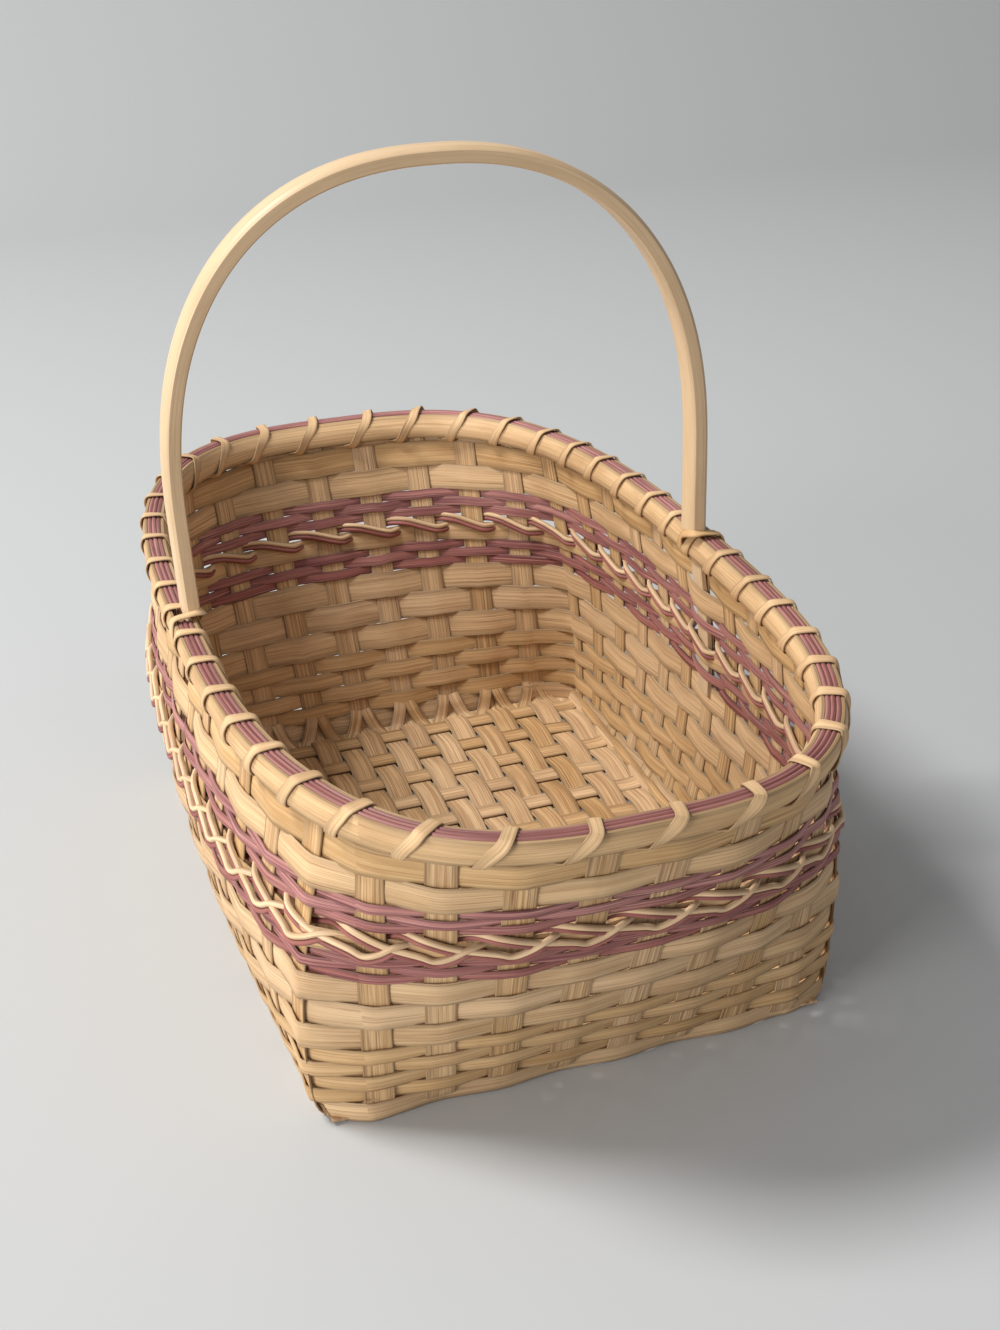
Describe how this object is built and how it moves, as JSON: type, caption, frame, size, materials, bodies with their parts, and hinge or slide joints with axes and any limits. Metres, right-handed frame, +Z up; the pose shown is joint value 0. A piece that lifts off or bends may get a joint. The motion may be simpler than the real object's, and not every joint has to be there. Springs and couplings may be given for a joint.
{
  "type": "splint basket",
  "caption": "Flat-reed market basket with a rectangular woven base, flared walls, dyed bands, a lashed oval rim and one fixed hoop handle.",
  "frame": {"origin": "under the middle of the base, on the surface that the basket stands on", "axes": "+Z up, +Y along the basket's length, +X across it in the plane of the handle"},
  "size_m": [0.3418, 0.6268, 0.436],
  "materials": {
    "natural_reed": "dry flat reed with fine lengthwise grain, matt",
    "dyed_reed": "mauve-dyed reed, matt, uneven dye",
    "handle_wood": "smooth bent hardwood, satin"
  },
  "bodies": {
    "root": {"lengthwise_stake_1": "natural_reed", "lengthwise_stake_2": "natural_reed", "lengthwise_stake_3": "natural_reed", "lengthwise_stake_4": "natural_reed", "lengthwise_stake_5": "natural_reed", "lengthwise_stake_6": "natural_reed", "lengthwise_stake_7": "natural_reed", "lengthwise_stake_8": "natural_reed", "base_filler_1": "natural_reed", "base_filler_2": "natural_reed", "base_filler_3": "natural_reed", "base_filler_4": "natural_reed", "base_filler_5": "natural_reed", "base_filler_6": "natural_reed", "base_filler_7": "natural_reed", "base_filler_8": "natural_reed", "base_filler_9": "natural_reed", "crosswise_stake_1": "natural_reed", "crosswise_stake_2": "natural_reed", "crosswise_stake_3": "natural_reed", "crosswise_stake_4": "natural_reed", "crosswise_stake_5": "natural_reed", "crosswise_stake_6": "natural_reed", "crosswise_stake_7": "natural_reed", "crosswise_stake_8": "natural_reed", "crosswise_stake_9": "natural_reed", "crosswise_stake_10": "natural_reed", "crosswise_stake_11": "natural_reed", "crosswise_stake_12": "natural_reed", "crosswise_stake_13": "natural_reed", "narrow_row_1": "natural_reed", "narrow_row_2": "natural_reed", "narrow_row_3": "natural_reed", "narrow_row_4": "natural_reed", "narrow_row_5": "natural_reed", "wide_row_6": "natural_reed", "wide_row_7": "natural_reed", "wide_row_8": "natural_reed", "lower_dyed_row_1": "dyed_reed", "lower_dyed_row_2": "dyed_reed", "lower_dyed_row_3": "dyed_reed", "middle_row": "natural_reed", "upper_dyed_row_1": "dyed_reed", "upper_dyed_row_2": "dyed_reed", "upper_dyed_row_3": "dyed_reed", "top_row_1": "natural_reed", "top_row_2": "natural_reed", "rim_row": "natural_reed", "wale_strand_1": "natural_reed", "wale_strand_2": "natural_reed", "wale_strand_3": "natural_reed", "outer_rim_hoop": "natural_reed", "inner_rim_hoop": "natural_reed", "rim_filler_outer_back": "dyed_reed", "rim_filler_inner_back": "dyed_reed", "rim_filler_outer_front": "dyed_reed", "rim_filler_inner_front": "dyed_reed", "rim_lashing": "natural_reed", "handle": "handle_wood"}
  },
  "joints": []
}
